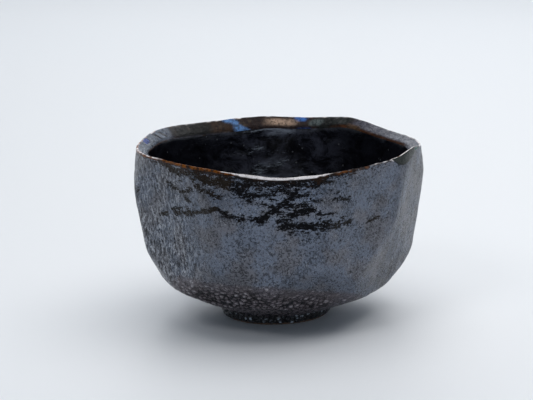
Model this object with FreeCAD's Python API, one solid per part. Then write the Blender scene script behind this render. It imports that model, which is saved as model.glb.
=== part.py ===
"""Hand-built matcha bowl: pinched stoneware, pared with a knife, on a luted foot ring, under four glaze coats.

Millimetres, +Z up. The origin is on the table plane, under the middle of the bowl. Azimuth 0 is +X and runs
anticlockwise seen from above, so the drinking front is at 270 degrees.

The outer form is one rounded solid bounded by straight knife cuts and a few turned cones. Every coat and the
clay below it are skins of that form, each set in from the last by the thickness of one coat.
"""

import FreeCAD
import Part

import math
import os
from collections import namedtuple

# ---- Driving dimensions --------------------------------------------------------------------------

GLAZE = 0.6  # thickness of every glaze coat
FORM_CENTRE_Z = 42.0  # height of the point that the form is measured from
FORM_SHARPNESS = 220.0  # higher makes the arrises between knife cuts crisper

FOOT_OFFSET_X = -2.4  # the ring was set a little off the bowl's middle
FOOT_HEIGHT = 5.0  # table to the joint between ring and bowl
FOOT_TOP_RADIUS = 23.7
FOOT_BASE_RADIUS = 22.2
FOOT_WELL_RADIUS = 17.0  # at the joint
FOOT_WELL_FLARE = 0.6  # how much wider the well is at the table
FOOT_EDGE = 0.6  # bevel on both edges of the ring where it stands
FOOT_GLAZE_END = 1.0  # bare clay is left below this height

FLOOR_Z = 12.0  # inside floor, at the edge of the tea pool
POOL_RADIUS = 15.0
POOL_DEPTH = 1.2
POOL_FLAT_RADIUS = 6.0
INSIDE_SQUARENESS = 2.7  # 2 would be an ellipse, higher fills the corner between wall and floor

AROUND = 120  # skin control points round the bowl
UP_OUTSIDE = 30  # rows from foot to lip
DOWN_INSIDE = 20  # rows from lip to floor
SEW_TOLERANCE = 0.001

# One straight knife cut: the azimuth that it faces, the degrees that it leans to face the table, and its
# distance from the axis at a height.
Cut = namedtuple("Cut", "azimuth lean distance height")
RIM_Z = 72.0
WALL_CUTS = [
    Cut(-18, 10.3, 60.3, RIM_Z),
    Cut(32, 6, 58.0, RIM_Z),
    Cut(84, 5, 63.2, RIM_Z),
    Cut(118, 5, 62.0, RIM_Z),
    Cut(165, 9.8, 58.9, RIM_Z),
    Cut(218, 6, 58.4, RIM_Z),
    Cut(268, 5, 61.4, RIM_Z),
    Cut(313, 6, 59.0, RIM_Z),
]
SHOULDER_CUTS = [
    Cut(-28, 22, 45.0, 15),
    Cut(12, 54, 45.9, 15.5),
    Cut(60, 40, 49, 17),
    Cut(108, 40, 49, 17),
    Cut(152, 34, 49.3, 17),
    Cut(194, 30.5, 50.7, 18),
    Cut(240, 38, 47, 16),
    Cut(288, 40, 46.5, 16),
]
UNDERSIDE_CUTS = [Cut(205, 66.3, 40.6, 12.5)]

# A turned cone, cut all round: lean, radius and the height of that radius.
Cone = namedtuple("Cone", "lean radius height")
CONES = [Cone(9, 62.2, 50), Cone(-10, 61.4, 66), Cone(69, 24.3, 4.6)]

# Stations round the rim: (azimuth, value). The rim rises and dips between them.
RIM_HEIGHTS = [
    (0, 71.9), (20, 71.6), (45, 72.7), (58, 74.6), (68, 73.8), (80, 73.4), (95, 74.2), (120, 74.0),
    (150, 75.4), (180, 74.3), (205, 75.3), (232, 75.3), (252, 73.9), (270, 72.1), (300, 73.0), (323, 73.6),
    (340, 74.9),
]  # fmt: skip
LIP_WIDTHS = [(0, 5.2), (30, 4.6), (90, 4.8), (135, 5.2), (165, 5.0), (190, 5.6), (240, 4.6), (290, 4.6)]
LIP_DROPS = [(0, 2.8), (30, 2.8), (60, 3.6), (90, 4.2), (130, 4.8), (185, 3.0), (270, 4.0)]

AZIMUTHS = [360.0 * i / AROUND for i in range(AROUND)]


# ---- The outer form ------------------------------------------------------------------------------


def unit(azimuth, elevation):
    """Unit vector at an azimuth and an elevation above the horizon, in degrees."""
    a, e = math.radians(azimuth), math.radians(elevation)
    return FreeCAD.Vector(math.cos(a) * math.cos(e), math.sin(a) * math.cos(e), math.sin(e))


FORM_CENTRE = FreeCAD.Vector(0, 0, FORM_CENTRE_Z)


def plane_of(cut):
    """A cut's outward normal and its distance from the form's centre."""
    normal = unit(cut.azimuth, -cut.lean)
    point = unit(cut.azimuth, 0) * cut.distance + FreeCAD.Vector(0, 0, cut.height)
    return normal, normal.dot(point - FORM_CENTRE)


PLANES = [plane_of(cut) for cut in WALL_CUTS + SHOULDER_CUTS + UNDERSIDE_CUTS]


def form_point(azimuth, elevation, inset=0.0):
    """Point of the outer form in a direction from its centre, moved in towards the centre by inset."""
    ray = unit(azimuth, elevation)
    closeness = [ray.dot(normal) / distance for normal, distance in PLANES]
    for cone in CONES:
        radial, vertical = math.cos(math.radians(cone.lean)), math.sin(math.radians(cone.lean))
        distance = radial * cone.radius - vertical * (cone.height - FORM_CENTRE_Z)
        closeness.append((radial * math.hypot(ray.x, ray.y) - vertical * ray.z) / distance)
    nearest = max(closeness)
    crowd = sum((c / nearest) ** FORM_SHARPNESS for c in closeness if c > 0)
    reach = 1.0 / (nearest * crowd ** (1.0 / FORM_SHARPNESS))
    return FORM_CENTRE + ray * (reach - inset)


def elevation_of(point):
    """Elevation of a point above the horizon of the form's centre, in degrees."""
    return math.degrees(math.atan2(point.z - FORM_CENTRE_Z, math.hypot(point.x, point.y)))


def form_point_at_height(azimuth, height):
    """Point of the outer form at a height, found by halving the span of elevations."""
    low, high = -60.0, 60.0
    while high - low > 1e-7:
        middle = (low + high) / 2
        if form_point(azimuth, middle).z > height:
            high = middle
        else:
            low = middle
    return form_point(azimuth, low)


def at_azimuth(stations, azimuth):
    """Smooth periodic curve through (azimuth, value) stations."""
    count = len(stations)
    turns = [stations[i % count][0] + 360.0 * (i // count) for i in range(-2, count + 3)]
    values = [stations[i % count][1] for i in range(-2, count + 3)]
    azimuth %= 360.0
    i = max(k for k in range(1, len(turns) - 2) if turns[k] <= azimuth)
    span = turns[i + 1] - turns[i]
    t = (azimuth - turns[i]) / span
    slope_in = (values[i + 1] - values[i - 1]) / (turns[i + 1] - turns[i - 1]) * span
    slope_out = (values[i + 2] - values[i]) / (turns[i + 2] - turns[i]) * span
    return (
        values[i] * (2 * t**3 - 3 * t**2 + 1)
        + slope_in * (t**3 - 2 * t**2 + t)
        + values[i + 1] * (3 * t**2 - 2 * t**3)
        + slope_out * (t**3 - t**2)
    )


# ---- Rings of control points ---------------------------------------------------------------------


def shifted(point, azimuth, outward, upward):
    return point + unit(azimuth, 0) * outward + FreeCAD.Vector(0, 0, upward)


def lip_slope(azimuth):
    """Angle of the lip's bevel, which falls towards the inside, in radians."""
    return math.atan2(at_azimuth(LIP_DROPS, azimuth), at_azimuth(LIP_WIDTHS, azimuth))


def lip_outer_edge(coats):
    """Ring along the outer edge of the lip, under that many coats."""
    depth = GLAZE * coats
    ring = []
    for azimuth in AZIMUTHS:
        surface = form_point_at_height(azimuth, at_azimuth(RIM_HEIGHTS, azimuth))
        slope = lip_slope(azimuth)
        ring.append(shifted(surface, azimuth, -depth, -depth * (math.tan(slope) + 1 / math.cos(slope))))
    return ring


def lip_inner_edge(coats):
    """Ring along the inner edge of the lip, under that many coats."""
    depth = GLAZE * coats
    ring = []
    for azimuth, outer in zip(AZIMUTHS, lip_outer_edge(0)):
        slope = lip_slope(azimuth)
        inward = at_azimuth(LIP_WIDTHS, azimuth) - depth
        downward = at_azimuth(LIP_DROPS, azimuth) + depth * (1 / math.cos(slope) - math.tan(slope))
        ring.append(shifted(outer, azimuth, -inward, -downward))
    return ring


def circle_of_points(radius, height, centre_x=0.0):
    """Ring of points on a circle, each at its azimuth seen from the bowl's axis."""
    ring = []
    for azimuth in AZIMUTHS:
        ray = unit(azimuth, 0)
        along = centre_x * ray.x
        reach = along + math.sqrt(along**2 - centre_x**2 + radius**2)
        ring.append(ray * reach + FreeCAD.Vector(0, 0, height))
    return ring


def foot_joint(coats):
    """Ring where the bowl's underside meets the foot ring, under that many coats."""
    if coats:
        return circle_of_points(FOOT_TOP_RADIUS, FOOT_HEIGHT, FOOT_OFFSET_X)
    cone = CONES[-1]
    return circle_of_points(cone.radius, cone.height, FOOT_OFFSET_X)


def outside_rows(coats):
    """Rings up the outside, from the foot to the lip, under that many coats."""
    first, last = foot_joint(coats), lip_outer_edge(coats)
    rows = [first]
    for step in range(1, UP_OUTSIDE):
        share = step / UP_OUTSIDE
        ring = []
        for azimuth, low, high in zip(AZIMUTHS, first, last):
            elevation = elevation_of(low) * (1 - share) + elevation_of(high) * share
            ring.append(form_point(azimuth, elevation, GLAZE * coats))
        rows.append(ring)
    return rows + [last]


def pool_dip(radius):
    """How far the floor is sunk at a radius from the axis, for the tea pool."""
    share = min(1.0, max(0.0, (radius - POOL_FLAT_RADIUS) / (POOL_RADIUS - POOL_FLAT_RADIUS)))
    return POOL_DEPTH * (1 - share * share * (3 - 2 * share))


def inside_rows(coats):
    """Rings down the inside, from the lip to the flat of the tea pool, under that many coats."""
    first = lip_inner_edge(coats)
    floor = FLOOR_Z - GLAZE * coats
    rows = [first]
    for step in range(1, DOWN_INSIDE + 1):
        ring = []
        for azimuth, edge in zip(AZIMUTHS, first):
            mouth = math.hypot(edge.x, edge.y)
            end = math.acos((POOL_FLAT_RADIUS / mouth) ** (INSIDE_SQUARENESS / 2))
            angle = end * step / DOWN_INSIDE
            radius = mouth * math.cos(angle) ** (2 / INSIDE_SQUARENESS)
            fallen = (math.sin(angle) / math.sin(end)) ** (2 / INSIDE_SQUARENESS)
            height = edge.z + (floor - edge.z) * fallen - pool_dip(radius)
            ring.append(unit(azimuth, 0) * radius + FreeCAD.Vector(0, 0, height))
        rows.append(ring)
    return rows


# ---- Faces and solids ----------------------------------------------------------------------------


def skin(rows):
    """Smooth face over rings of control points, closed round the bowl."""
    degree = min(3, len(rows) - 1)
    spans = len(rows) - degree
    surface = Part.BSplineSurface()
    surface.buildFromPolesMultsKnots(
        [list(points) for points in zip(*rows)],
        [1] * (AROUND + 1),
        [degree + 1] + [1] * (spans - 1) + [degree + 1],
        [float(k) for k in range(AROUND + 1)],
        [float(k) for k in range(spans + 1)],
        True,
        False,
        3,
        degree,
    )
    return surface.toShape()


def disc(ring):
    """Flat face inside a ring of control points at one height."""
    edge = Part.BSplineCurve()
    edge.buildFromPolesMultsKnots(
        ring, [1] * (AROUND + 1), [float(k) for k in range(AROUND + 1)], True, 3
    )
    return Part.Face(Part.Wire([edge.toShape()]))


def closed_solid(faces):
    """The solid that the faces enclose."""
    sewn = Part.makeCompound(faces)
    sewn.sewShape(SEW_TOLERANCE)
    solid = Part.Solid(sewn.Shells[0])
    if solid.Volume < 0:
        solid.reverse()
    if not (solid.isValid() and solid.isClosed()):
        raise ValueError("the faces don't close into a valid solid")
    return solid


def turned(profile):
    """Solid turned about the foot ring's axis from (radius, height) corners."""
    corners = [FreeCAD.Vector(radius, 0, height) for radius, height in profile]
    face = Part.Face(Part.makePolygon(corners + corners[:1]))
    ring = face.revolve(FreeCAD.Vector(0, 0, 0), FreeCAD.Vector(0, 0, 1), 360)
    ring.translate(FreeCAD.Vector(FOOT_OFFSET_X, 0, 0))
    return ring


# ---- The pieces ----------------------------------------------------------------------------------


def clay_body():
    """Wall and floor in one piece of stoneware."""
    outside, inside = outside_rows(1), inside_rows(1)
    return closed_solid(
        [disc(outside[0]), skin(outside), skin([outside[-1], inside[0]]), skin(inside), disc(inside[-1])]
    )


def outer_glaze():
    """Coat on the outside, from the foot joint to the lip's outer edge."""
    face, back = outside_rows(0), outside_rows(1)
    return closed_solid(
        [skin(face), skin([face[-1], back[-1]]), skin(back), skin([back[0], face[0]])]
    )


def lip_glaze():
    """Coat on the bevelled lip."""
    outer, inner = lip_outer_edge(0), lip_inner_edge(0)
    outer_back, inner_back = lip_outer_edge(1), lip_inner_edge(1)
    ring = [outer, inner, inner_back, outer_back]
    return closed_solid([skin([a, b]) for a, b in zip(ring, ring[1:] + ring[:1])])


def inner_glaze():
    """Liner coat on the inside wall and floor."""
    face, back = inside_rows(0), inside_rows(1)
    return closed_solid(
        [skin(face), disc(face[-1]), disc(back[-1]), skin(back), skin([back[0], face[0]])]
    )


def foot_ring():
    """Ring of clay luted under the floor. It stands on its flat base."""
    well_base = FOOT_WELL_RADIUS + FOOT_WELL_FLARE
    return turned(
        [
            (FOOT_TOP_RADIUS, FOOT_HEIGHT),
            (FOOT_BASE_RADIUS, FOOT_EDGE),
            (FOOT_BASE_RADIUS - FOOT_EDGE, 0),
            (well_base + FOOT_EDGE, 0),
            (well_base, FOOT_EDGE),
            (FOOT_WELL_RADIUS, FOOT_HEIGHT),
        ]
    )


def foot_glaze():
    """Coat round the outside of the foot ring, which stops short of the table."""
    share = (FOOT_GLAZE_END - FOOT_EDGE) / (FOOT_HEIGHT - FOOT_EDGE)
    clay_end = FOOT_BASE_RADIUS + share * (FOOT_TOP_RADIUS - FOOT_BASE_RADIUS)
    joint = CONES[-1]
    return turned(
        [
            (FOOT_TOP_RADIUS, FOOT_HEIGHT),
            (joint.radius, joint.height),
            (clay_end + GLAZE, FOOT_GLAZE_END),
            (clay_end, FOOT_GLAZE_END),
        ]
    )


def main():
    os.makedirs("parts", exist_ok=True)
    for piece in (clay_body, foot_ring, outer_glaze, lip_glaze, inner_glaze, foot_glaze):
        shape = piece()
        box = shape.BoundBox
        print(
            f"{piece.__name__}: {shape.Volume / 1000:.2f} cm3, x {box.XMin:.2f} to {box.XMax:.2f},"
            f" y {box.YMin:.2f} to {box.YMax:.2f}, z {box.ZMin:.2f} to {box.ZMax:.2f}"
        )
        shape.exportStep(f"parts/{piece.__name__}.step")


if __name__ == "__main__":
    main()
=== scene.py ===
"""Matcha bowl: the glazed and bare surfaces of a knife-pared stoneware tea bowl, built round its CAD model.

Metres, +Z up, in the model's own frame. Azimuth 0 is +X and runs anticlockwise seen from above, so the
front, which the camera sees, is at 270 degrees.
"""

import math
from collections import namedtuple

import bpy
import numpy as np
from mathutils import Matrix, Vector, noise
from mathutils.bvhtree import BVHTree


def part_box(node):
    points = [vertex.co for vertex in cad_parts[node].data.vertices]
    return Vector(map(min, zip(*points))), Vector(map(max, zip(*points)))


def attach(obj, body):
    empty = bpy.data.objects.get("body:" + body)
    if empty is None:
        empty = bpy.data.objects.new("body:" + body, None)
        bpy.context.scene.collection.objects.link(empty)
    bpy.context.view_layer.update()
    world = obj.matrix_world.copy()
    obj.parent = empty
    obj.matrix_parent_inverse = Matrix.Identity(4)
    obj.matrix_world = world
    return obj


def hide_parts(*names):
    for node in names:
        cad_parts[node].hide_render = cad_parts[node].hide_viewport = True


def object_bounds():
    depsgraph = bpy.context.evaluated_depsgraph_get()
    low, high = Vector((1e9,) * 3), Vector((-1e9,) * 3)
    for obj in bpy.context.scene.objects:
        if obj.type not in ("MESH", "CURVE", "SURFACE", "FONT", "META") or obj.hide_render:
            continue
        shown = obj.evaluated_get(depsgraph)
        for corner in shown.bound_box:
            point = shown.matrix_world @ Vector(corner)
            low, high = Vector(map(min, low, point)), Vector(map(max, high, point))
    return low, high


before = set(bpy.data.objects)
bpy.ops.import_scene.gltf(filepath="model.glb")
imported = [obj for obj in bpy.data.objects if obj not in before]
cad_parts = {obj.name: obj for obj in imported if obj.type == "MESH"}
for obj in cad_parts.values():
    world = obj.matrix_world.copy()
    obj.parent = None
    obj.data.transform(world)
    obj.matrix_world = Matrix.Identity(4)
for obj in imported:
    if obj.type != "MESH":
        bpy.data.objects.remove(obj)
CAD_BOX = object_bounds()

MM = 0.001
REACH = 0.2  # longer than any ray from the bowl's middle to its outside
CENTRE = Vector((0, 0, 42 * MM))  # every ring of the glaze is seen from here

# ---- Mesh density --------------------------------------------------------------------------------

COLUMNS = 576
FOOT_ROWS = 16
WALL_ROWS = (0, 92, 150, 168)  # row counts at the shares of the wall below
WALL_SHARES = (0, 0.45, 0.955, 1)  # closer rows over the beads and at the lip
LIP_ROWS = 16
INSIDE_ROWS = 110
HALVING_RADII = (26 * MM, 13 * MM, 6.5 * MM, 3.2 * MM)  # inside each, the floor's rings halve their columns

# ---- Glaze relief --------------------------------------------------------------------------------

LIP_SMOOTHING = 8  # passes over the profile of the lip
LIP_BLEND = (14, 8)  # rows that those passes cover, before the lip's outer edge and after its inner edge
LIP_LIFT = 0.2 * MM  # smoothing rounds the lip down by about this much
JOINT_SMOOTHING = 5  # passes over the profile where the bowl meets its foot
JOINT_BLEND = (6, 10)  # rows that those passes cover, before and after the joint
BEAD_SIZE = 2.0 * MM
BEAD_SEED = 7
BEAD_STRETCH = (1.25, 1.25, 0.85)
DEEPEST_PIT = 0.46  # mm, less than the coat's thickness, so that no clay shows through
WALL_RADIUS = 60 * MM  # turns azimuth into a length along the wall

# Height at which the beaded glaze gives way to smooth skin: (azimuth, height in mm).
BEAD_LINE = [
    (0, 12), (40, 14), (90, 19), (130, 16), (165, 11), (196, 16), (208, 21), (217, 25), (235, 27),
    (257, 27), (267, 26.3), (282, 23.4), (295, 20), (315, 15.5), (336, 11),
]

# How strongly the glaze broke to amber and brown below the lip: (azimuth, strength).
BREAK_DEPTHS = [
    (0, 0.5), (20, 0.6), (55, 1.0), (90, 0.9), (120, 1.0), (150, 0.6), (180, 0.7), (203, 1.2), (213, 1.9),
    (250, 1.9), (262, 1.4), (288, 1.3), (310, 1.1), (325, 0.7), (345, 0.5),
]

# How strongly a highlight is painted on the crest of the lip: (azimuth, strength).
CREST_HIGHLIGHT_STRENGTH = [
    (0, 0.5), (40, 0.2), (150, 0.2), (185, 0.5), (211, 0.6), (216, 0.2), (245, 0.2), (251, 0.8), (257, 1.2),
    (284, 1.2), (290, 0.4), (302, 0.15), (312, 0.4), (322, 0.6), (335, 0.8), (350, 0.8),
]

# How strongly the glaze broke to an amber line just under the crest: (azimuth, strength).
AMBER_STRENGTH = [
    (0, 0.2), (90, 0.4), (170, 0.5), (183, 1), (210, 1.1), (246, 1.1), (256, 0.5), (280, 0.5), (298, 0.6),
    (312, 0.4), (324, 0.6), (338, 0.8), (350, 0.3),
]

# A thick run of glaze hangs below the lip on the right: (azimuth, how far it hangs in mm).
RUN_REACH = [
    (321, 0), (323, 1.6), (325, 3.3), (328, 4.5), (331, 4.9), (335, 4.6), (339, 3.4), (342, 2), (347, 1.5),
    (350, 0),
]

# A window is a streak where the pewter skin broke and the black glaze below shows. Its width is in mm, its
# tint runs from 0, black, to 1, brown, and its path is (azimuth, height in mm).
Window = namedtuple("Window", "width tint path")
WINDOWS = [
    Window(0.7, 0.8, [(209, 50.3), (214, 52.2)]),
    Window(1.0, 0.7, [(220, 52.8), (237, 56.2), (245, 58.8)]),
    Window(0.5, 0.5, [(217, 54), (225, 56)]),
    Window(1.0, 0.1, [(247, 58), (250, 56), (256, 54.4)]),
    Window(1.5, 0.0, [(259, 54.6), (263, 54.4), (266, 57.4), (272, 61)]),
    Window(0.8, 0.0, [(263, 61.4), (267, 59.7)]),
    Window(2.0, 0.0, [(252, 68.4), (257, 65), (266, 64.9), (273, 67.4)]),
    Window(0.9, 0.1, [(253, 69.6), (258, 68.6), (266, 69), (272, 69.8)]),
    Window(1.0, 0.7, [(217, 65.8), (226, 63.2), (233, 65.2)]),
    Window(1.1, 0.7, [(236, 67.1), (240, 65.5), (244, 65.1)]),
    Window(1.5, 0.9, [(240, 69.3), (248, 68.1)]),
    Window(0.7, 0.4, [(228, 60.4), (231, 59.8)]),
    Window(0.6, 0.5, [(243, 64.1), (247, 63.4)]),
    Window(1.3, 0.9, [(218, 72.6), (225, 71.2), (237, 72.3)]),
    Window(2.0, 1.0, [(236, 71.2), (250, 69.2)]),
    Window(2.2, 0.2, [(250, 72.6), (260, 71.4), (272, 70.6), (288, 70.8)]),
    Window(1.4, 0.3, [(288, 71), (300, 72)]),
    Window(1.5, 0.0, [(275, 69.2), (281, 67.6), (286, 69.3)]),
    Window(1.3, 0.0, [(277, 67.3), (272, 61.5)]),
    Window(1.0, 0.0, [(272, 61.8), (277, 64), (280, 63.8)]),
    Window(1.1, 0.0, [(273, 59.5), (279, 60.4), (282, 58.2), (276, 57.8)]),
    Window(0.6, 0.0, [(281, 62), (286, 61.5)]),
    Window(0.5, 0.1, [(291, 63.2), (294, 65.2)]),
    Window(0.5, 0.1, [(291, 62.2), (298, 60.3)]),
    Window(1.0, 0.0, [(269, 53.6), (275, 56), (280, 56.8)]),
    Window(2.1, 0.0, [(271, 51.6), (280, 51.2), (288, 51.2)]),
    Window(1.3, 0.3, [(288, 51.4), (299, 50.8)]),
    Window(0.6, 0.0, [(284, 56.5), (291, 56)]),
    Window(0.6, 0.0, [(284, 53.9), (289, 53.6)]),
    Window(0.8, 0.6, [(309, 49), (316, 50)]),
    Window(1.8, 0.1, [(24, 69.5), (38, 67.5), (50, 69)]),
    Window(1.2, 0.0, [(33, 63), (46, 60.5)]),
    Window(2.0, 0.0, [(70, 68), (84, 64.5), (98, 66.5)]),
    Window(1.3, 0.2, [(88, 59), (104, 56.5), (112, 58)]),
    Window(1.0, 0.6, [(120, 67), (132, 65), (139, 66.5)]),
    Window(1.5, 0.1, [(146, 57.5), (158, 55), (166, 56)]),
    Window(0.9, 0.8, [(172, 68), (184, 67)]),
    Window(0.8, 0.7, [(186, 60), (196, 58.5)]),
]  # fmt: skip


# ---- Reading the form from the CAD ---------------------------------------------------------------


def tree_of(node):
    """Search tree over a CAD node's faces, for casting rays at it."""
    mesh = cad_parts[node].data
    return BVHTree.FromPolygons([v.co for v in mesh.vertices], [p.vertices for p in mesh.polygons])


def aimed(azimuth, elevation):
    """Unit vector at an azimuth and an elevation above the horizon, in radians."""
    level = math.cos(elevation)
    return Vector((math.cos(azimuth) * level, math.sin(azimuth) * level, math.sin(elevation)))


def outside_point(tree, azimuth, elevation):
    """Where the bowl's outside is met, coming in towards its centre."""
    ray = aimed(azimuth, elevation)
    return tree.ray_cast(CENTRE + ray * REACH, -ray, REACH)[0]


def inside_point(tree, azimuth, elevation):
    """Where the bowl's inside is met, going out from its centre."""
    return tree.ray_cast(CENTRE, aimed(azimuth, elevation), REACH)[0]


def lip_elevation(meet, tree, azimuth):
    """Highest elevation at which the surface is still met, found by halving."""
    low, high = 0.0, math.radians(60)
    while high - low > 1e-6:
        middle = (low + high) / 2
        if meet(tree, azimuth, middle):
            low = middle
        else:
            high = middle
    return low


def foot_circle(radius, height):
    """Ring of points on a circle about the foot's axis, each at its azimuth seen from the bowl's axis."""
    ring = []
    for azimuth in AZIMUTHS:
        along = FOOT_X * math.cos(azimuth)
        reach = along + math.sqrt(along**2 - FOOT_X**2 + radius**2)
        ring.append((reach * math.cos(azimuth), reach * math.sin(azimuth), height))
    return np.array(ring)


AZIMUTHS = [2 * math.pi * i / COLUMNS for i in range(COLUMNS)]
FOOT_LOW, FOOT_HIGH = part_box("foot_glaze")
FOOT_X = (FOOT_LOW.x + FOOT_HIGH.x) / 2
JOINT_RADIUS = (FOOT_HIGH.x - FOOT_LOW.x) / 2
JOINT_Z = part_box("outer_glaze")[0].z
RING_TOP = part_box("foot_ring")[1].z


def foot_rings():
    """Rings from the foot's glaze line up to the joint, read along the foot's +Y side."""
    tree = tree_of("foot_glaze")
    rings = []
    for height in np.linspace(FOOT_LOW.z, JOINT_Z, FOOT_ROWS + 1):
        start = Vector((FOOT_X, REACH, min(max(height, FOOT_LOW.z + 1e-5), JOINT_Z - 1e-5)))
        hit = tree.ray_cast(start, Vector((0, -1, 0)), REACH)[0]
        rings.append(foot_circle(hit.y, height))
    return rings


def wall_rings():
    """Rings from the joint up to the lip's outer edge, without the joint itself."""
    tree = tree_of("outer_glaze")
    shares = np.interp(np.arange(1, WALL_ROWS[-1] + 1), WALL_ROWS, WALL_SHARES)
    columns = []
    for azimuth, (x, y, z) in zip(AZIMUTHS, foot_circle(JOINT_RADIUS, JOINT_Z)):
        low = math.atan2(z - CENTRE.z, math.hypot(x, y))
        high = lip_elevation(outside_point, tree, azimuth)
        columns.append([outside_point(tree, azimuth, low + (high - low) * share) for share in shares])
    return list(np.array(columns).transpose(1, 0, 2))


def inside_rings():
    """Rings from the lip's inner edge down to the middle of the floor. Smaller rings have fewer points."""
    tree = tree_of("inner_glaze")
    tops = [lip_elevation(inside_point, tree, azimuth) for azimuth in AZIMUTHS]
    last = -math.pi / 2
    rings = []
    for share in np.linspace(0, 1, INSIDE_ROWS + 1)[:-1]:
        middle = inside_point(tree, 0, tops[0] + (last - tops[0]) * share)
        step = 2 ** sum(middle.x < radius for radius in HALVING_RADII)
        rings.append(
            np.array(
                [
                    inside_point(tree, azimuth, top + (last - top) * share)
                    for azimuth, top in list(zip(AZIMUTHS, tops))[::step]
                ]
            )
        )
    return rings


def lip_rings(outer_edge, inner_edge):
    """Rings across the bevelled lip, without its two edges."""
    shares = np.linspace(0, 1, LIP_ROWS + 1)[1:-1]
    return [outer_edge + (inner_edge - outer_edge) * share for share in shares]


def smoothed(rings, first, last, passes):
    """Evens out the profile between two rows, which rounds the corners there."""
    block = np.array(rings[first : last + 1])
    for _ in range(passes):
        block[1:-1] = block[1:-1] / 2 + (block[:-2] + block[2:]) / 4
    return rings[:first] + list(block) + rings[last + 1 :]


# ---- Noise and stations --------------------------------------------------------------------------


def ripple(points, size, seed, stretch=(1, 1, 1)):
    """Smooth noise between about -1 and 1 at each point, with swells about size wide, times the stretch."""
    scaled = points / (size * np.array(stretch)) + 17.31 * seed
    return np.array([noise.noise(p) for p in scaled.tolist()])


def cells(points, size, seed, stretch=(1, 1, 1)):
    """0 on the border between two cells of about that size, rising to about 1 in the middle of one."""
    scaled = points / (size * np.array(stretch)) + 9.73 * seed
    gaps = []
    for p in scaled.tolist():
        distances = noise.voronoi(p)[0]
        gaps.append(distances[1] - distances[0])
    return np.clip(np.array(gaps) / 0.6, 0, 1)


def ramp(values, low, high):
    """0 below low, 1 above high, and a smooth rise between them."""
    share = np.clip((values - low) / (high - low), 0, 1)
    return share * share * (3 - 2 * share)


def at_azimuth(stations, azimuth):
    """Value between (azimuth, value) stations, in degrees, closed round the bowl."""
    turns, values = zip(*stations)
    return np.interp(azimuth, turns, values, period=360)


def near_azimuth(azimuth, middle, half_width, fade):
    """1 within half_width of an azimuth, falling to 0 over fade degrees."""
    away = np.abs((azimuth - middle + 180) % 360 - 180)
    return 1 - ramp(away, half_width, half_width + fade)


def window_fields(azimuth, height):
    """How near each point is to a window, 1 on its path and a half at its width, and that window's tint."""
    best = np.zeros(len(azimuth))
    tint = np.zeros(len(azimuth))
    for window in WINDOWS:
        middle = window.path[0][0]
        along = np.radians((azimuth - middle + 180) % 360 - 180) * WALL_RADIUS / MM
        here = np.stack([along, height / MM], 1)
        path = [np.array([math.radians(a - middle) * WALL_RADIUS / MM, z]) for a, z in window.path]
        for start, end in zip(path, path[1:]):
            step = end - start
            share = np.clip(((here - start) @ step) / (step @ step), 0, 1)
            away = np.linalg.norm(here - start - share[:, None] * step, axis=1)
            field = 1 / (1 + (away / window.width) ** 2)
            tint = np.where(field > best, window.tint, tint)
            best = np.maximum(best, field)
    return best, tint


# ---- The glaze skin ------------------------------------------------------------------------------


def build_skin():
    """Rings of the whole glaze in order, and the number of the first ring of each coat."""
    foot = foot_rings()
    wall = wall_rings()
    inside = inside_rings()
    wall[-1] = wall[-1] + [0, 0, LIP_LIFT]
    lip = lip_rings(wall[-1], inside[0])
    rings = foot + wall + lip + inside
    joint = len(foot) - 1
    outer_edge = joint + len(wall)
    inner_edge = outer_edge + len(lip) + 1
    rings = smoothed(rings, joint - JOINT_BLEND[0], joint + JOINT_BLEND[1], JOINT_SMOOTHING)
    rings = smoothed(rings, outer_edge - LIP_BLEND[0], inner_edge + LIP_BLEND[1], LIP_SMOOTHING)
    first = {"foot": 0, "wall": joint, "lip": outer_edge, "inside": inner_edge, "end": len(rings) - 1}
    return rings, first


def band_faces(first, second, count_first, count_second):
    """Faces between two rings, where the second has as many points as the first, or half as many."""
    faces = []
    if count_first == count_second:
        for i in range(count_first):
            j = (i + 1) % count_first
            faces.append((first + i, first + j, second + j, second + i))
        return faces
    for i in range(count_second):
        j = (i + 1) % count_second
        start, middle, end = first + 2 * i, first + 2 * i + 1, first + (2 * i + 2) % count_first
        faces.append((start, middle, second + i))
        faces.append((middle, second + j, second + i))
        faces.append((middle, end, second + j))
    return faces


def point_normals(points, faces):
    """Unit normal at each point, averaged from its faces."""
    normals = np.zeros_like(points)
    for size in (3, 4):
        group = np.array([face for face in faces if len(face) == size])
        if not len(group):
            continue
        corners = points[group]
        if size == 3:
            across = np.cross(corners[:, 1] - corners[:, 0], corners[:, 2] - corners[:, 0])
        else:
            across = np.cross(corners[:, 2] - corners[:, 0], corners[:, 3] - corners[:, 1])
        for corner in range(size):
            np.add.at(normals, group[:, corner], across)
    return normals / np.maximum(np.linalg.norm(normals, axis=1), 1e-12)[:, None]


rings, first_ring = build_skin()
starts = np.cumsum([0] + [len(ring) for ring in rings])
skin_points = np.concatenate(rings)
skin_row = np.concatenate([np.full(len(ring), row) for row, ring in enumerate(rings)])


def coat_faces(first, last):
    """Faces of the coat that runs from one named ring to another."""
    faces = []
    for row in range(first_ring[first], first_ring[last]):
        faces += band_faces(starts[row], starts[row + 1], len(rings[row]), len(rings[row + 1]))
    return faces


coats = {
    "foot": coat_faces("foot", "wall"),
    "wall": coat_faces("wall", "lip"),
    "lip": coat_faces("lip", "inside"),
    "inside": coat_faces("inside", "end"),
}
last_ring = list(range(starts[-2], starts[-1]))
coats["inside"].append(tuple(last_ring))
all_faces = coats["foot"] + coats["wall"] + coats["lip"] + coats["inside"][:-1]

# ---- Fields over the skin, one value at each point ----------------------------------------------

azimuth = np.degrees(np.arctan2(skin_points[:, 1], skin_points[:, 0])) % 360
height = skin_points[:, 2].copy()
on_foot = skin_row <= first_ring["wall"]
on_wall = (skin_row > first_ring["wall"]) & (skin_row <= first_ring["lip"])
on_lip = (skin_row > first_ring["lip"]) & (skin_row < first_ring["inside"])
on_inside = skin_row >= first_ring["inside"]


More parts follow.
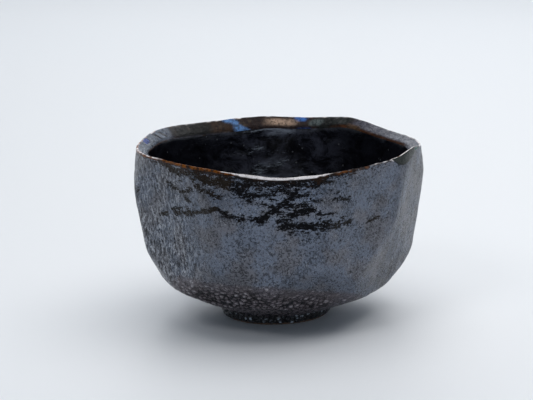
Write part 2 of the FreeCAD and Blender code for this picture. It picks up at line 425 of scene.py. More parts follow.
def distance_from_ring(row):
    """Length along the profile from one ring to each point, for the rings that have every column."""
    full = [ring for ring in rings if len(ring) == COLUMNS]
    steps = np.linalg.norm(np.diff(np.array(full), axis=0), axis=2)
    along = np.concatenate([np.zeros((1, COLUMNS)), np.cumsum(steps, axis=0)])
    along = np.abs(along - along[row])
    return np.concatenate([along.ravel(), np.full(len(skin_points) - along.size, REACH)])


below_lip = distance_from_ring(first_ring["lip"])
past_edge = np.where(skin_row > first_ring["lip"], -below_lip, below_lip) / MM  # negative on the lip

# Share of the way across the lip: 0 at its outer edge and 1 at its inner edge.
lip_width = below_lip[starts[first_ring["inside"]] :][:COLUMNS]
across_lip = np.where(on_lip, below_lip / np.resize(lip_width, len(below_lip)), on_inside)

window, tint = window_fields(azimuth, height)
window *= on_wall
lip_break = at_azimuth(BREAK_DEPTHS, azimuth) * np.exp(-below_lip / (2.4 * MM))

# The left of the wall is gritty, less so towards the lip. The right of the wall has long scraped flutes,
# and there the skin is darkened: partly the flutes' own streaks, partly painted shade.
left_wall = near_azimuth(azimuth, 198, 20, 26)
left_wall *= 1 - 0.3 * ramp(height, 42 * MM, 58 * MM) * ramp(azimuth, 185, 205)
right_streaks_and_shade = near_azimuth(azimuth, 345, 16, 8)

# The run of glaze that hangs from the lip.
run_reach = at_azimuth(RUN_REACH, azimuth) * MM
run = on_wall * (1 - ramp(below_lip, 0.8 * run_reach, 1.05 * run_reach + 0.01 * MM))
run *= run_reach > 0.1 * MM

# Where the glaze is beaded, below a wandering line, and how high its beads stand. Near it they are lower.
bead_line = at_azimuth(BEAD_LINE, azimuth) * MM + ripple(skin_points, 9 * MM, 5) * 2 * MM
beaded = np.where(on_inside | on_lip, 0, 1 - ramp(height, bead_line - 2.5 * MM, bead_line + 0.5 * MM))
bead_depth = 1 - 0.6 * ramp(height, bead_line - 9 * MM, bead_line - 2 * MM)
bead_depth *= 0.5 + 0.5 * near_azimuth(azimuth, 235, 50, 30)

# ---- Relief --------------------------------------------------------------------------------------

cad_points = skin_points
bead_cells = cells(cad_points, BEAD_SIZE, BEAD_SEED, BEAD_STRETCH)


def relief():
    """How far each point of the skin stands proud of the CAD surface. It is nearly always below it.

    The depths are in mm until the last line.
    """
    # The wall: slow swells, finger marks, flutes on the right, and slanted grit, most of it on the left.
    sway = ripple(cad_points, 30 * MM, 1, (1, 1, 0.7))
    pinch = ripple(cad_points, 9 * MM, 2, (1.6, 1.6, 0.7))
    slanted = cad_points + np.outer(cad_points[:, 1], (0, 0, 0.7))
    grit = ripple(slanted, 2.0 * MM, 3, (1, 1, 1.9))
    fine = ripple(slanted, 1.3 * MM, 4, (1, 1, 1.8))
    fluted = near_azimuth(azimuth, 338, 16, 14)
    flutes = ripple(cad_points, 5 * MM, 6, (1, 1, 7))
    wall = 0.16 * sway + 0.12 * pinch + 0.16 * fluted * flutes - 0.28
    wall = wall + (0.35 + 0.65 * left_wall) * (0.14 * grit + 0.08 * fine) + 0.22 * run

    # Beads in two sizes near the foot, and windows a little below the skin.
    near_foot = 1 - ramp(height, 5 * MM, 16 * MM)
    small_cells = cells(cad_points, BEAD_SIZE * 0.55, 8, (1.3, 1.3, 0.8))
    dome = 1 - (1 - ramp(bead_cells, 0, 0.75)) ** 2
    bead_height = bead_depth * (0.42 + 0.1 * near_foot) * dome + 0.08 * ramp(small_cells, 0, 0.6) - 0.46
    wall = wall * (1 - beaded) + beaded * (bead_height + 0.1 * sway)
    wall = wall - 0.06 * ramp(window, 0.4, 0.7)

    # The inside: waves left by the fingers.
    swell = ripple(cad_points, 18 * MM, 11, (1.4, 1.4, 0.8))
    wave = ripple(cad_points, 6 * MM, 12, (1.6, 1.6, 0.8))
    inside = 0.34 * swell + 0.3 * wave + 0.07 * grit

    # The lip, whose uneven edge fades into the wall and into the inside.
    edge = 0.16 * ripple(cad_points, 6 * MM, 13) + 0.1 * ripple(cad_points, 2.6 * MM, 14) - 0.1
    near_outer_edge = np.exp(-((below_lip / (3 * MM)) ** 2))
    near_inner_edge = np.exp(-(((below_lip - 5 * MM) / (2 * MM)) ** 2))
    wall = wall * (1 - near_outer_edge) + edge * near_outer_edge
    inside = inside * (1 - near_inner_edge) + edge * near_inner_edge
    lip = edge + 0.05 * ripple(cad_points, 12 * MM, 15)
    wall = np.maximum(wall, -DEEPEST_PIT)
    outside = on_wall | on_foot
    return MM * np.where(outside, wall, np.where(on_lip, lip, inside))


skin_points = cad_points + point_normals(cad_points, all_faces) * relief()[:, None]
skin_points[:, 2] = np.minimum(skin_points[:, 2], CAD_BOX[1].z)
skin_normals = point_normals(skin_points, all_faces)


# ---- Material helpers ----------------------------------------------------------------------------


class Paint:
    """One node material. Textures are in millimetres of the object's own space."""

    MIX_FIRST, MIX_SECOND, MIX_RESULT = 6, 7, 2  # the colour sockets of a mix node

    def __init__(self, name):
        self.material = bpy.data.materials.new(name)
        self.material.use_nodes = True
        self.tree = self.material.node_tree
        self.shader = self.tree.nodes["Principled BSDF"]
        coordinates = self.tree.nodes.new("ShaderNodeTexCoord")
        self.place = self.vector("SCALE", coordinates.outputs["Object"], scale=1 / MM)

    def put(self, socket, value):
        """Links a socket into another one, or sets its value. A colour of three numbers is made opaque."""
        if isinstance(value, bpy.types.NodeSocket):
            self.tree.links.new(value, socket)
        elif isinstance(value, tuple) and len(socket.default_value) == 4:
            socket.default_value = (*value, 1)
        else:
            socket.default_value = value

    def vector(self, operation, first, second=None, scale=None):
        node = self.tree.nodes.new("ShaderNodeVectorMath")
        node.operation = operation
        self.put(node.inputs[0], first)
        if second is not None:
            self.put(node.inputs[1], second)
        if scale is not None:
            node.inputs["Scale"].default_value = scale
        return node.outputs["Vector"]

    def math(self, operation, *values):
        node = self.tree.nodes.new("ShaderNodeMath")
        node.operation = operation
        for socket, value in zip(node.inputs, values):
            self.put(socket, value)
        return node.outputs["Value"]

    def times(self, first, second):
        return self.math("MULTIPLY", first, second)

    def plus(self, first, second):
        return self.math("ADD", first, second)

    def field(self, name):
        """A number stored at each point of the mesh."""
        node = self.tree.nodes.new("ShaderNodeAttribute")
        node.attribute_name = name
        return node.outputs["Fac"]

    def colours(self, name):
        """A colour stored at each point of the mesh."""
        node = self.tree.nodes.new("ShaderNodeAttribute")
        node.attribute_name = name
        return node.outputs["Color"]

    def noise(self, size, detail=2.0, stretch=(1, 1, 1), roughness=0.5, distortion=0.0, offset=0.0):
        """Noise with swells about size mm wide, from 0 to 1."""
        place = self.vector("DIVIDE", self.place, stretch)
        place = self.vector("ADD", place, (offset, offset, offset))
        node = self.tree.nodes.new("ShaderNodeTexNoise")
        self.put(node.inputs["Vector"], place)
        node.inputs["Scale"].default_value = 1 / size
        node.inputs["Detail"].default_value = detail
        node.inputs["Roughness"].default_value = roughness
        node.inputs["Distortion"].default_value = distortion
        return node.outputs["Fac"]

    def pits(self, size, stretch=(1, 1, 1), offset=0.0):
        """Distance to the nearest of scattered points about size mm apart."""
        place = self.vector("DIVIDE", self.place, stretch)
        place = self.vector("ADD", place, (offset, offset, offset))
        node = self.tree.nodes.new("ShaderNodeTexVoronoi")
        self.put(node.inputs["Vector"], place)
        node.inputs["Scale"].default_value = 1 / size
        return node.outputs["Distance"]

    def band(self, value, low, high, start=0.0, end=1.0):
        """Smooth change from start, where value is low or less, to end, where it is high or more."""
        node = self.tree.nodes.new("ShaderNodeMapRange")
        node.interpolation_type = "SMOOTHSTEP"
        for socket, number in zip(node.inputs, (value, low, high, start, end)):
            self.put(socket, number)
        return node.outputs["Result"]

    def mix(self, share, first, second):
        node = self.tree.nodes.new("ShaderNodeMix")
        node.data_type = "RGBA"
        self.put(node.inputs["Factor"], share)
        self.put(node.inputs[self.MIX_FIRST], first)
        self.put(node.inputs[self.MIX_SECOND], second)
        return node.outputs[self.MIX_RESULT]

    def bump(self, height, distance, normal=None):
        """Relief from a height between 0 and 1. distance is that relief's depth in mm."""
        node = self.tree.nodes.new("ShaderNodeBump")
        node.inputs["Distance"].default_value = distance * MM
        self.put(node.inputs["Height"], height)
        if normal is not None:
            self.put(node.inputs["Normal"], normal)
        return node.outputs["Normal"]

    def finish(self, colour, roughness, normal, **others):
        """The finished material. others are further shader inputs, with _ for a space in the name."""
        self.put(self.shader.inputs["Base Color"], colour)
        self.put(self.shader.inputs["Roughness"], roughness)
        self.put(self.shader.inputs["Normal"], normal)
        for name, value in others.items():
            self.put(self.shader.inputs[name.replace("_", " ")], value)
        return self.material


# ---- Materials -----------------------------------------------------------------------------------

SKIN_BLUE = (0.14, 0.162, 0.208)
SKIN_GREY = (0.144, 0.148, 0.17)
# Dark specks of the skin; also the colour of the painted shade on the right of the wall.
SKIN_SPECK_AND_SHADE = (0.012, 0.012, 0.014)
# Colour of the painted highlights: pale specks and streaks standing in for glints on the skin.
SKIN_GLINT = (0.42, 0.44, 0.48)
BLACK_GLAZE = (0.0015, 0.0015, 0.003)
BROWN_GLAZE = (0.016, 0.011, 0.007)
BEAD_BROWN = (0.19, 0.16, 0.172)
# Painted highlight on the tops of the beads.
BEAD_GLINT = (0.5, 0.48, 0.5)
# Painted shade in the crevices between the beads.
CREVICE_SHADE = (0.007, 0.006, 0.006)
AMBER = (0.2, 0.06, 0.004)
RED_BROWN = (0.018, 0.008, 0.004)
# Pale paint for the painted highlight on the crest of the lip.
CREST_HIGHLIGHT = (0.95, 0.88, 0.87)
RUN_TEAL = (0.015, 0.11, 0.1)
RUN_RIM = (0.012, 0.012, 0.012)
RUN_GREEN = (0.03, 0.036, 0.032)
LINER_BLACK = (0.002, 0.002, 0.0035)
# Colours of the painted reflection and the painted highlight specks inside.
LINER_REFLECTION = (0.045, 0.048, 0.066)
LINER_GLINT = (0.09, 0.095, 0.1)
FOOT_BLACK = (0.01, 0.01, 0.012)
FOOT_ASH = (0.5, 0.55, 0.6)
CLAY_DARK = (0.10, 0.052, 0.03)
CLAY_LIGHT = (0.17, 0.1, 0.06)
CLAY_IRON = (0.02, 0.012, 0.008)
SKIN_METAL = 0.7  # iron crystals give the skin a pewter sheen
GLAZE_SHINE = 0.08  # specular level of the glazes outside and on the lip

# A window opens where its field, and this much of a coarse and a fine noise, add up to more than the limit.
WINDOW_COARSE, WINDOW_FINE = 2.2, 2.6
WINDOW_LIMIT = (2.91, 3.0)
BREAK_FRAY = 3.4  # the same for the brown break below the lip
BREAK_LIMIT = (2.3, 2.5)


def pewter_glaze():
    """Blue-grey speckled skin over black glaze, broken by black windows and beaded near the foot, with
    painted highlights for glints on the skin and the beads, and painted shade in the crevices and on the
    right of the wall.
    """
    paint = Paint("pewter_glaze")
    skin = paint.mix(paint.band(paint.noise(11, 3), 0.42, 0.62), SKIN_BLUE, SKIN_GREY)
    crowd = paint.band(paint.noise(7, 3, roughness=0.6, offset=13), 0.35, 0.65, -0.05, 0.06)
    flecks = paint.noise(0.85, 2, stretch=(1, 1, 1.2), roughness=0.7, distortion=0.8)
    dark = paint.band(paint.plus(flecks, crowd), 0.52, 0.64)
    skin = paint.mix(paint.times(dark, 0.6), skin, SKIN_SPECK_AND_SHADE)
    # Painted highlights: pale specks standing in for glints off the skin's relief.
    pale = paint.noise(0.7, 2, roughness=0.6, distortion=0.4, offset=41)
    pale = paint.band(pale, 0.57, 0.68, 0.0, 0.4)
    skin = paint.mix(pale, skin, SKIN_GLINT)

    streaks = paint.noise(1.15, 3, stretch=(1, 1, 2.4), roughness=0.7, distortion=0.6, offset=61)
    left = paint.field("left_wall")
    skin = paint.mix(paint.times(paint.band(streaks, 0.52, 0.6, 0.0, 0.85), left), skin, SKIN_SPECK_AND_SHADE)
    # Painted highlights: pale streaks on the left of the wall.
    skin = paint.mix(paint.times(paint.band(streaks, 0.39, 0.5, 0.78, 0.0), left), skin, SKIN_GLINT)

    # Dark streaks over a general darkening on the right of the wall: partly the flutes' own streaks, partly
    # painted shade.
    flutes = paint.noise(2.2, 3, stretch=(1, 1, 7), roughness=0.6, offset=83)
    flutes = paint.band(flutes, 0.4, 0.62, 0.12, 0.5)
    skin = paint.mix(paint.times(flutes, paint.field("right_streaks_and_shade")), skin, SKIN_SPECK_AND_SHADE)

    coarse = paint.noise(2.6, 3, stretch=(2.0, 2.0, 0.75), roughness=0.65, distortion=0.7, offset=3)
    fine = paint.noise(0.85, 3, stretch=(1.7, 1.7, 0.8), roughness=0.7, distortion=0.4, offset=5)
    ragged = paint.plus(paint.times(coarse, WINDOW_COARSE), paint.times(fine, WINDOW_FINE))
    opened = paint.band(paint.plus(paint.field("window"), ragged), *WINDOW_LIMIT)
    islands = paint.noise(0.95, 3, stretch=(1.5, 1.5, 0.8), roughness=0.7, distortion=0.4, offset=71)
    opened = paint.times(opened, paint.band(islands, 0.615, 0.65, 1.0, 0.0))
    under = paint.mix(paint.field("tint"), BLACK_GLAZE, BROWN_GLAZE)
    colour = paint.mix(opened, skin, under)

    # Painted glints: pale paint on the tops of the beads.
    top = paint.times(paint.field("bead_top"), paint.band(flecks, 0.42, 0.6, 0.9, 0.0))
    beads = paint.mix(paint.field("bead_depth"), paint.mix(0.5, skin, BEAD_BROWN), BEAD_BROWN)
    beads = paint.mix(top, beads, BEAD_GLINT)
    # Painted shade: the crevices between the beads are darkened.
    beads = paint.mix(paint.field("bead_crevice_shade"), beads, CREVICE_SHADE)
    colour = paint.mix(paint.field("beaded"), colour, beads)

    fray = paint.noise(2.6, 4, stretch=(1.6, 1.6, 0.8), roughness=0.7, distortion=0.5, offset=7)
    browned = paint.band(paint.plus(paint.field("break"), paint.times(fray, BREAK_FRAY)), *BREAK_LIMIT)
    colour = paint.mix(paint.times(browned, 0.9), colour, RED_BROWN)
    patches = paint.noise(1.3, 3, stretch=(1.5, 1.5, 1), roughness=0.6, offset=73)
    amber = paint.mix(paint.band(patches, 0.36, 0.56), RED_BROWN, AMBER)
    colour = paint.mix(paint.field("amber"), colour, amber)
    # Painted highlight: pale paint along the crest of the lip.
    colour = paint.mix(paint.field("crest"), colour, CREST_HIGHLIGHT)

    run_rim = paint.band(paint.field("run"), 0.05, 0.4)
    run_paint = paint.mix(paint.band(paint.field("run"), 0.5, 0.9), RUN_RIM, RUN_GREEN)
    colour = paint.mix(run_rim, colour, run_paint)
    colour = paint.mix(paint.field("teal"), colour, RUN_TEAL)

    bare = paint.math("MAXIMUM", paint.math("MAXIMUM", opened, browned), run_rim)
    roughness = paint.band(flecks, 0.35, 0.65, 0.36, 0.24)
    roughness = paint.times(roughness, paint.band(bare, 0.0, 1.0, 1.0, 0.4))
    roughness = paint.times(roughness, paint.band(paint.field("beaded"), 0.0, 0.8, 1.0, 0.65))
    relief = paint.bump(paint.math("SUBTRACT", pale, dark), 0.3)
    relief = paint.bump(paint.math("SUBTRACT", 1.0, opened), 0.12, relief)
    relief = paint.bump(paint.noise(0.6, 3, roughness=0.6, offset=29), 0.12, relief)
    pitted = paint.times(paint.noise(1.1, 3, roughness=0.7, offset=67), opened)
    relief = paint.bump(pitted, 0.7, relief)
    sheen = paint.times(paint.math("SUBTRACT", 1.0, bare), SKIN_METAL)
    return paint.finish(colour, roughness, relief, Metallic=sheen, Specular_IOR_Level=GLAZE_SHINE)


def lip_glaze():
    """Thin glossy coat on the lip, broken to brown, with blue and tan where it pooled."""
    paint = Paint("broken_lip_glaze")
    grain = paint.noise(1.6, 5, roughness=0.75, distortion=0.6)
    dark = paint.band(grain, 0.45, 0.62, 0.0, 0.7)
    colour = paint.mix(dark, paint.colours("lip_paint"), BLACK_GLAZE)
    colour = paint.mix(paint.field("amber"), colour, AMBER)
    # Painted highlight: pale paint along the crest of the lip.
    colour = paint.mix(paint.field("crest"), colour, CREST_HIGHLIGHT)
    relief = paint.bump(grain, 0.5)
    roughness = paint.band(grain, 0.3, 0.7, 0.18, 0.1)
    sheen = paint.field("sheen")
    return paint.finish(colour, roughness, relief, Metallic=sheen, Specular_IOR_Level=GLAZE_SHINE)


def liner_glaze():
    """Near-black glossy glaze on the inside, with faint waves and pinholes, a painted reflection on the
    back of the inside, and pale specks that are painted highlights.
    """
    paint = Paint("liner_glaze")
    # Painted reflection: soft pale clouds on the back of the inside.
    cloud = paint.noise(8, 5, stretch=(1.3, 1.3, 0.9), roughness=0.75, distortion=0.5)
    painted_reflection = paint.times(paint.band(cloud, 0.4, 0.7), paint.field("painted_reflection"))
    colour = paint.mix(painted_reflection, LINER_BLACK, LINER_REFLECTION)
    # Painted highlights: pale specks.
    specks = paint.band(paint.pits(4.3, offset=27), 0.04, 0.13, 0.8, 0.0)
    colour = paint.mix(specks, colour, LINER_GLINT)
    pinholes = paint.band(paint.pits(3.1), 0.05, 0.14, 0.0, 1.0)
    waves = paint.noise(3.5, 3, stretch=(1.4, 1.4, 0.8), roughness=0.6, distortion=0.5, offset=19)
    relief = paint.bump(waves, 0.16)
    relief = paint.bump(pinholes, 0.08, relief)
    return paint.finish(colour, paint.band(cloud, 0.3, 0.7, 0.1, 0.22), relief)


def foot_glaze():
    """Black beaded glaze round the foot, with ash-grey crawled bits and painted shade in the crevices
    between its beads.
    """
    paint = Paint("beaded_foot_glaze")
    ash = paint.noise(2.6, 3, stretch=(1.3, 1.3, 0.8), roughness=0.6, offset=23)
    ash = paint.times(paint.band(ash, 0.48, 0.56), paint.field("bead_top"))
    colour = paint.mix(ash, FOOT_BLACK, FOOT_ASH)
    # Painted shade: the crevices between the foot's beads are darkened.
    colour = paint.mix(paint.field("bead_crevice_shade"), colour, CREVICE_SHADE)
    grain = paint.noise(0.6, 2)
    return paint.finish(colour, paint.band(grain, 0.3, 0.7, 0.2, 0.36), paint.bump(grain, 0.1))


def bare_stoneware():
    """Unglazed iron-rich clay: sandy, with dark iron specks."""
    paint = Paint("bare_stoneware")
    cloud = paint.noise(6, 4, roughness=0.6)
    colour = paint.mix(paint.band(cloud, 0.35, 0.7), CLAY_DARK, CLAY_LIGHT)
    sand = paint.noise(0.35, 3, roughness=0.7)
    iron = paint.band(paint.pits(1.6), 0.1, 0.2, 0.8, 0.0)
    colour = paint.mix(iron, colour, CLAY_IRON)
    return paint.finish(colour, paint.band(sand, 0.3, 0.7, 0.75, 0.92), paint.bump(sand, 0.15))


# ---- Pieces --------------------------------------------------------------------------------------


def add_piece(name, points, faces, material, normals=None, fields=None, colours=None):
    """A smooth mesh piece that rides on the bowl."""
    mesh = bpy.data.meshes.new(name)
    mesh.from_pydata(np.asarray(points).tolist(), [], faces)
    mesh.polygons.foreach_set("use_smooth", [True] * len(mesh.polygons))
    for field, values in (fields or {}).items():
        layer = mesh.attributes.new(field, "FLOAT", "POINT")
        layer.data.foreach_set("value", np.asarray(values, np.float32))
    for field, values in (colours or {}).items():
        layer = mesh.attributes.new(field, "FLOAT_COLOR", "POINT")
        layer.data.foreach_set("color", np.asarray(values, np.float32).ravel())
    if normals is not None:
        mesh.normals_split_custom_set_from_vertices(np.asarray(normals).tolist())
    mesh.materials.append(material)
    mesh.update()
    piece = bpy.data.objects.new(name, mesh)
    bpy.context.scene.collection.objects.link(piece)
    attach(piece, "root")
    return piece


def painted_crest_highlight():
    """Painted highlight: pale paint along the crest of the lip, where its rounded edge catches the light.
    """
    strength = at_azimuth(CREST_HIGHLIGHT_STRENGTH, azimuth) + 0.5 * ripple(skin_points, 2.4 * MM, 35)
    half_width = 0.4 + 0.75 * ramp(strength, 0.7, 1.1)
    crest = 1 - ramp(np.abs(past_edge + 0.1), half_width, half_width + 0.3)
    return crest * ramp(strength, 0.25, 0.7)


def amber_line():
    """Where the glaze broke to amber, in a thin line just under the crest."""
    strength = at_azimuth(AMBER_STRENGTH, azimuth) + 0.45 * ripple(skin_points, 2.5 * MM, 36)
    reach = 0.95 + 0.5 * ripple(skin_points, 1.8 * MM, 37)
    on_crest = ramp(past_edge, -0.9, -0.5) * (1 - ramp(past_edge, reach, reach + 0.35))
    return on_crest * ramp(strength, 0.45, 0.8)


def lip_sheen():
    """Where the lip kept the pewter skin of the wall."""
    left = near_azimuth(azimuth, 178, 28, 6)
    right = near_azimuth(azimuth, 22, 22, 8) * (1 - ramp(-past_edge, 3.2, 4.2))
    ragged = ramp(ripple(skin_points, 3 * MM, 38), -0.35, -0.1)
    return SKIN_METAL * np.maximum(0.8 * left, 0.5 * right) * ragged


LIP_COLOURS = {
    "brown": (0.018, 0.009, 0.008),
    "black": (0.008, 0.008, 0.007),
    "umber": (0.03, 0.016, 0.009),
    "pewter": (0.115, 0.135, 0.172),
    "tan": (0.36, 0.25, 0.18),
    "green black": (0.004, 0.006, 0.005),
    "slate": (0.08, 0.1, 0.1),
    "grey": (0.07, 0.07, 0.09),
    "pale grey": (0.16, 0.165, 0.195),
    "rust": (0.07, 0.024, 0.008),
    "copper": (0.1, 0.04, 0.012),
    # Painted highlight along the lip's inner edge.
    "edge highlight": (0.07, 0.07, 0.085),
    "ochre": (0.07, 0.04, 0.022),
    "sky blue": (0.11, 0.23, 0.47),
    "blue": (0.05, 0.16, 0.48),
    "navy": (0.01, 0.03, 0.12),
    "spot rim": (0.01, 0.01, 0.015),
    "spot": (0.015, 0.04, 0.2),
    "notch": (0.012, 0.012, 0.016),
    "speck": (0.012, 0.014, 0.035),
    "blot": (0.05, 0.035, 0.024),
}


def lip_paint():
    """Glaze colour round the lip, before its fine grain. Each patch lies over the ones before it."""
    here = azimuth + ripple(skin_points, 4 * MM, 31) * 2.5

    def arc(middle, half_width, fade, lean=0):
        return near_azimuth(here + lean * (across_lip - 0.5), middle, half_width, fade)

    def notch(turn):
        slant = near_azimuth(azimuth + 6 * (across_lip - 0.5), turn, 0.7, 0.7)
        return slant * (1 - ramp(np.abs(across_lip - 0.45), 0.2, 0.35))

    middle = 1 - ramp(np.abs(across_lip - 0.5), 0.12, 0.4)
    inner_edge = ramp(across_lip, 0.88, 0.95)
    spot = near_azimuth(azimuth, 167, 2.4, 0.8) * (1 - ramp(np.abs(across_lip - 0.3), 0.16, 0.28))
    patches = [
        (arc(126, 12, 8), "black"),
        (arc(114, 4, 5), "umber"),
        (arc(178, 30, 6), "pewter"),
        (arc(88, 3, 6) * middle, "tan"),
        (arc(64, 6, 3), "green black"),
        (arc(72.5, 1, 2.5) * middle, "slate"),
        (arc(27, 25, 6), "grey"),
        (arc(10, 14, 8), "pale grey"),
        (arc(38, 20, 9) * ramp(across_lip, 0.72, 0.86), "rust"),
        (arc(160, 16, 5) * inner_edge, "copper"),
        # Painted highlight: a thin grey line along the lip's inner edge.
        (arc(131, 17, 4) * inner_edge, "edge highlight"),
        (arc(53, 2, 3) * ramp(across_lip, 0.5, 0.75), "ochre"),
        (arc(108.5, 1.4, 2.2, lean=7), "sky blue"),
        (arc(79, 1.5, 2) * (1 - ramp(across_lip, 0.25, 0.5)), "blue"),
        (arc(77, 2, 2) * ramp(across_lip, 0.85, 0.97), "navy"),
        (spot, "spot rim"),
        (ramp(spot, 0.7, 1), "spot"),
        (notch(150), "notch"),
        (notch(155), "notch"),
        (ramp(ripple(skin_points, 1.8 * MM, 33), 0.42, 0.6) * arc(160, 16, 6), "speck"),
        (ramp(ripple(skin_points, 2.5 * MM, 34), 0.3, 0.55) * arc(122, 20, 5), "blot"),
    ]
    colour = np.tile(LIP_COLOURS["brown"], (len(azimuth), 1))
    for mask, name in patches:
        colour = colour * (1 - mask[:, None]) + np.array(LIP_COLOURS[name]) * mask[:, None]
    return np.concatenate([colour, np.ones((len(colour), 1))], axis=1)


def add_coat(name, faces, material, replaced, fields=None, colours=None):
    """One coat of the skin as a piece of its own. It keeps the whole skin's normals, so no seam shows."""
    used = sorted({point for face in faces for point in face})
    renumbered = dict(zip(used, range(len(used))))
    coat = add_piece(
        name,
        skin_points[used],
        [[renumbered[point] for point in face] for face in faces],
        material,
        skin_normals[used],
        {field: values[used] for field, values in (fields or {}).items()},
        {field: values[used] for field, values in (colours or {}).items()},
    )
    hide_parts(replaced)
    return coat


def add_glaze_coats():
    """The four coats, each with the fields that its material reads."""
    # The crevices between beads get painted shade, and their tops, on the wall, painted glints.
    bead_crevice_shade = 1 - ramp(bead_cells, 0.12, 0.5)
    bead_top = ramp(bead_cells, 0.6, 1.0)
    # crest is a painted highlight along the crest of the lip; amber is the glaze's own amber line.
    crest, amber = painted_crest_highlight(), amber_line()
    teal_band = 1 - ramp(np.abs(past_edge - 1.1), 0.4, 0.8)
    fields = {
        "window": window,
        "tint": tint,
        "beaded": beaded * 0.9,
        "bead_depth": bead_depth,
        "bead_crevice_shade": bead_crevice_shade * bead_depth,
        "bead_top": bead_top,
        "break": lip_break,
        "run": run,
        "crest": crest,
        "amber": amber,
        "left_wall": left_wall,
        "right_streaks_and_shade": right_streaks_and_shade,
        "teal": near_azimuth(azimuth, 343.5, 1.2, 1.0) * teal_band,
    }
    add_coat("outer_coat", coats["wall"], pewter_glaze(), "outer_glaze", fields)
    fields = {"bead_crevice_shade": bead_crevice_shade, "bead_top": bead_top}
    add_coat("foot_coat", coats["foot"], foot_glaze(), "foot_glaze", fields)
    fields = {"crest": crest, "amber": amber, "sheen": lip_sheen()}
    colours = {"lip_paint": lip_paint()}
    add_coat("lip_coat", coats["lip"], lip_glaze(), "lip_glaze", fields, colours)
    # The painted reflection is strongest at the back of the inside, at 90 degrees.
    fields = {"painted_reflection": 0.15 + 0.85 * near_azimuth(azimuth, 90, 14, 24)}
    add_coat("inner_coat", coats["inside"], liner_glaze(), "inner_glaze", fields)


RING_COLUMNS, RING_ROWS = 360, 55
RING_OUTER = 22.2 * MM
RING_INNER = 17.6 * MM
# The ring's profile in mm, down its outside and then up its well: (how far outside that radius, height).
RING_OUTSIDE = [(0.9, 3.6), (0.3, 1.9), (0.05, 1.1), (-0.1, 0.6), (-0.35, 0.25), (-0.8, 0.05), (-1.4, 0)]
RING_INSIDE = [(1.4, 0), (0.8, 0.05), (0.3, 0.3), (0, 0.8), (-0.2, 2.2)]

WELL_COLUMNS, WELL_ROWS = 240, 60
WELL_RADIUS = 17.3  # mm
WELL_COVE = 13.5  # mm from the middle, where the well's floor starts to curve into the ring
SPIRAL_PITCH = 2.4  # mm
PEAK_RADIUS = 2.2  # mm


def add_foot_ring(material):
    """The bare clay ring, turned about its own axis, with a sandy, slightly uneven skin."""
    profile = [(RING_OUTER + 1.3 * MM, RING_TOP)]
    profile += [(RING_OUTER + out * MM, up * MM) for out, up in RING_OUTSIDE]
    profile += [(RING_INNER + out * MM, up * MM) for out, up in RING_INSIDE]
    profile += [(RING_INNER - 0.5 * MM, RING_TOP)]
    corners = np.array(profile)
    lengths = np.concatenate([[0], np.cumsum(np.linalg.norm(np.diff(corners, axis=0), axis=1))])
    places = np.linspace(0, lengths[-1], RING_ROWS + 1)
    radii = np.interp(places, lengths, corners[:, 0])
    heights = np.interp(places, lengths, corners[:, 1])
    turns = np.linspace(0, 2 * math.pi, RING_COLUMNS, endpoint=False)
    points = np.stack(
        [
            FOOT_X + np.outer(radii, np.cos(turns)),
            np.outer(radii, np.sin(turns)),
            np.outer(heights, np.ones(RING_COLUMNS)),
        ],
        axis=2,
    ).reshape(-1, 3)
    faces = []
    for start in range(0, RING_ROWS * RING_COLUMNS, RING_COLUMNS):
        band = band_faces(start, start + RING_COLUMNS, RING_COLUMNS, RING_COLUMNS)
        faces += [face[::-1] for face in band]
    uneven = 0.1 * ripple(points, 5 * MM, 41) + 0.06 * ripple(points, 1.2 * MM, 42) - 0.12
    points = points + point_normals(points, faces) * uneven[:, None] * MM
    points[:, 2] = np.maximum(points[:, 2], 0)
    piece = add_piece("foot_ring_clay", points, faces, material)
    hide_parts("foot_ring")


def add_well_floor(material):
    """The bare clay inside the foot ring: a shallow turned spiral round a small peak."""
    radius = WELL_RADIUS * MM
    points = [(FOOT_X, 0, 0)]
    turns = np.linspace(0, 2 * math.pi, WELL_COLUMNS, endpoint=False)
    for share in np.linspace(0, 1, WELL_ROWS + 1)[1:]:
        for turn in turns:
            points.append((FOOT_X + radius * share * math.cos(turn), radius * share * math.sin(turn), 0))
    points = np.array(points)
    away = np.hypot(points[:, 0] - FOOT_X, points[:, 1]) / MM
    turn = np.arctan2(points[:, 1], points[:, 0] - FOOT_X)
    groove = np.sin(2 * math.pi * away / SPIRAL_PITCH - turn)
    peak = np.exp(-((away / PEAK_RADIUS) ** 2))
    relief = 0.09 * groove * ramp(away, 1, 4) - 0.9 * peak + 0.05 * ripple(points, 1.2 * MM, 52)
    cove = 1.2 * ramp(away, WELL_COVE, WELL_RADIUS) ** 2
    points[:, 2] = RING_TOP + MM * (relief - 0.2 - cove)
    faces = [(0, 1 + (i + 1) % WELL_COLUMNS, 1 + i) for i in range(WELL_COLUMNS)]
    for row in range(WELL_ROWS - 1):
        start = 1 + row * WELL_COLUMNS
        faces += band_faces(start, start + WELL_COLUMNS, WELL_COLUMNS, WELL_COLUMNS)
    add_piece("well_floor", points, faces, material)


# ---- Stage, light and camera ---------------------------------------------------------------------

CAMERA_DISTANCE = 1.1
CAMERA_ELEVATION = math.radians(13.5)
CAMERA_ROLL = math.radians(1.6)
CAMERA_LENS = 174.6
CAMERA_TARGET = Vector((-5.3 * MM, 0, 36 * MM))
AIM_RIGHT, AIM_UP = -0.2 * MM, 12.8 * MM  # the bowl sits a little low in the frame

FLOOR_COLOUR = (0.705, 0.725, 0.745)
FLOOR_CLOUD = (0.715, 0.725, 0.74)
FLOOR_HALF = 4.0  # metres
WORLD_COLOUR = (0.76, 0.87, 1.0)
# The studio walls' light: from this Y to that Y of the direction, and its strength at each.
WORLD_GRADIENT = {"From Min": -0.7, "From Max": 0.8, "To Min": 0.2, "To Max": 0.4}

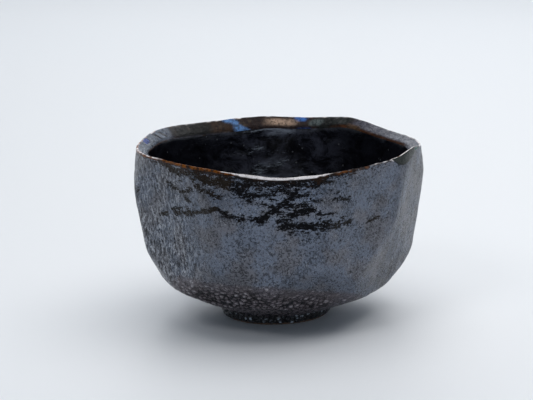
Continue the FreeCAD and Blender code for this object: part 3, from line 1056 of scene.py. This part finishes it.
# Rectangular lights: where each is and what it points at, its two sizes in metres, and its power in watts.
SoftLight = namedtuple("SoftLight", "name place aim size power colour")
SOFT_LIGHTS = [
    SoftLight("top_softbox", (0.26, 0.05, 0.9), (0.26, 0.05, 0), (1.05, 1.05), 7.8, (1, 0.98, 0.96)),
    SoftLight("backdrop_light", (-0.6, 2.1, 1.2), (-0.6, 2.1, 0), (2.4, 0.8), 23, (0.98, 0.99, 1)),
    SoftLight("low_fill", (0.1, -0.9, 0.22), (0.05, 0, 0.01), (0.6, 0.25), 1.0, (0.66, 0.8, 1)),
    SoftLight("back_softbox", (0.2, 0.9, 0.45), (0, 0, 0.04), (0.9, 0.3), 1.6, (0.97, 0.98, 1)),
    SoftLight("front_softbox", (-0.45, -0.6, 0.8), (0, 0, 0.04), (0.3, 0.3), 1.5, (0.97, 0.98, 1)),
]


def add_camera():
    """The camera looks along +Y and down at the bowl, and is rolled a little."""
    forward = Vector((0, math.cos(CAMERA_ELEVATION), -math.sin(CAMERA_ELEVATION)))
    right = Vector((1, 0, 0))
    up = right.cross(forward)
    place = CAMERA_TARGET - forward * CAMERA_DISTANCE
    aim = CAMERA_TARGET + right * AIM_RIGHT + up * AIM_UP
    data = bpy.data.cameras.new("camera")
    data.lens = CAMERA_LENS
    camera = bpy.data.objects.new("camera", data)
    turn = (aim - place).to_track_quat("-Z", "Y").to_matrix().to_4x4()
    camera.matrix_world = Matrix.Translation(place) @ turn @ Matrix.Rotation(-CAMERA_ROLL, 4, "Z")
    bpy.context.scene.collection.objects.link(camera)
    bpy.context.scene.camera = camera


def add_soft_light(light):
    data = bpy.data.lights.new(light.name, "AREA")
    data.shape = "RECTANGLE"
    data.size, data.size_y = light.size
    data.energy = light.power
    data.color = light.colour
    lamp = bpy.data.objects.new(light.name, data)
    lamp.location = light.place
    lamp.rotation_mode = "QUATERNION"
    lamp.rotation_quaternion = (Vector(light.aim) - Vector(light.place)).to_track_quat("-Z", "Y")
    bpy.context.scene.collection.objects.link(lamp)


def add_floor():
    mesh = bpy.data.meshes.new("floor")
    corners = [(x * FLOOR_HALF, y * FLOOR_HALF, 0) for x, y in ((-1, -1), (1, -1), (1, 1), (-1, 1))]
    mesh.from_pydata(corners, [], [(0, 1, 2, 3)])
    paint = Paint("floor_paper")
    colour = paint.mix(paint.noise(220, 2), FLOOR_COLOUR, FLOOR_CLOUD)
    mesh.materials.append(paint.finish(colour, 0.6, paint.bump(paint.noise(1.5, 2), 0.01)))
    floor = bpy.data.objects.new("floor", mesh)
    bpy.context.scene.collection.objects.link(floor)


def add_world():
    """Studio walls: bright behind the bowl, dim on the camera's side."""
    world = bpy.data.worlds.new("studio")
    world.use_nodes = True
    nodes, links = world.node_tree.nodes, world.node_tree.links
    coordinates = nodes.new("ShaderNodeTexCoord")
    parts = nodes.new("ShaderNodeSeparateXYZ")
    links.new(coordinates.outputs["Generated"], parts.inputs[0])
    gradient = nodes.new("ShaderNodeMapRange")
    gradient.interpolation_type = "SMOOTHSTEP"
    links.new(parts.outputs["Y"], gradient.inputs["Value"])
    for name, value in WORLD_GRADIENT.items():
        gradient.inputs[name].default_value = value
    background = nodes["Background"]
    background.inputs["Color"].default_value = (*WORLD_COLOUR, 1)
    links.new(gradient.outputs["Result"], background.inputs["Strength"])
    bpy.context.scene.world = world


def main():
    bpy.context.scene.view_settings.view_transform = "Standard"
    add_glaze_coats()
    clay = bare_stoneware()
    add_foot_ring(clay)
    add_well_floor(clay)
    clay_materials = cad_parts["clay_body"].data.materials
    clay_materials.clear()
    clay_materials.append(clay)
    add_floor()
    add_world()
    for light in SOFT_LIGHTS:
        add_soft_light(light)
    add_camera()


main()
